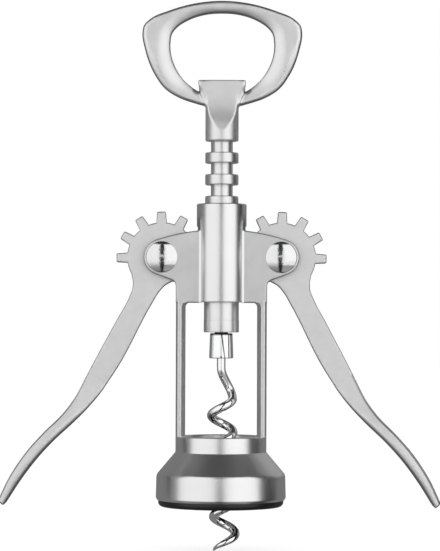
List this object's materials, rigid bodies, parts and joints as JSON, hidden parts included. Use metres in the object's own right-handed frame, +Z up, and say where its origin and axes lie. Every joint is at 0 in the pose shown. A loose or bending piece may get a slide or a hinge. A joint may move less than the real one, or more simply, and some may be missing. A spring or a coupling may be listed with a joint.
{
  "type": "wing corkscrew",
  "caption": "Wing corkscrew: a satin metal frame with a bell for the bottle, geared levers, a ringed stem, a chrome worm and a cap-opener ring handle.",
  "frame": {"origin": "centre of the ledge inside the bell that rests on the lip of the bottle", "axes": "+Z up along the stem towards the handle, -Y towards the viewer in the picture, +X to the viewer's right"},
  "size_m": [0.1463, 0.0432, 0.1833],
  "materials": {
    "satin_body": "satin plated zinc casting",
    "satin_lever": "satin plated zinc casting, fine bead-blasted grain",
    "satin_handle": "satin plated zinc casting, soft edges",
    "turned_stem": "fine turned satin",
    "plain_steel": "drawn, unplated",
    "bright_chrome": "mirror",
    "black_plastic": "moulded, slightly glossy"
  },
  "bodies": {
    "frame": {"bell_skirt": "satin_body", "bottle_seat": "black_plastic", "cage_collar": "satin_body", "guide_barrel": "satin_body", "left_leg": "satin_body", "left_front_cheek": "satin_body", "left_rear_cheek": "satin_body", "left_rivet": "bright_chrome", "left_rivet_cap": "bright_chrome", "right_leg": "satin_body", "right_front_cheek": "satin_body", "right_rear_cheek": "satin_body", "right_rivet": "bright_chrome", "right_rivet_cap": "bright_chrome"},
    "left_lever": {"left_lever": "satin_lever"},
    "right_lever": {"right_lever": "satin_lever"},
    "rack": {"rack_stem": "turned_stem", "rack_foot": "turned_stem"},
    "spindle": {"opener_handle": "satin_handle", "core_rod": "plain_steel", "worm_ferrule": "bright_chrome", "worm": "bright_chrome"}
  },
  "joints": [
    {"name": "rack_slide", "type": "slide", "parent": "frame", "child": "rack", "axis": [0, 0, 1], "range_m": [-0.0287, 0.0065]},
    {"name": "spindle_turn", "type": "hinge", "parent": "rack", "child": "spindle", "pos_m": [0, 0, 0], "axis": [0, 0, 1], "continuous": true},
    {"name": "left_lever_hinge", "type": "hinge", "parent": "frame", "child": "left_lever", "pos_m": [-0.0198, 0, 0.07515], "axis": [0, 1, 0], "range_deg": [-27, 119]},
    {"name": "right_lever_hinge", "type": "hinge", "parent": "frame", "child": "right_lever", "pos_m": [0.0198, 0, 0.07515], "axis": [0, -1, 0], "range_deg": [-27, 119]}
  ],
  "couplings": [
    {"joint": "left_lever_hinge", "follows": "rack_slide", "rad_per_m": -72.22},
    {"joint": "right_lever_hinge", "follows": "rack_slide", "rad_per_m": -72.22}
  ]
}
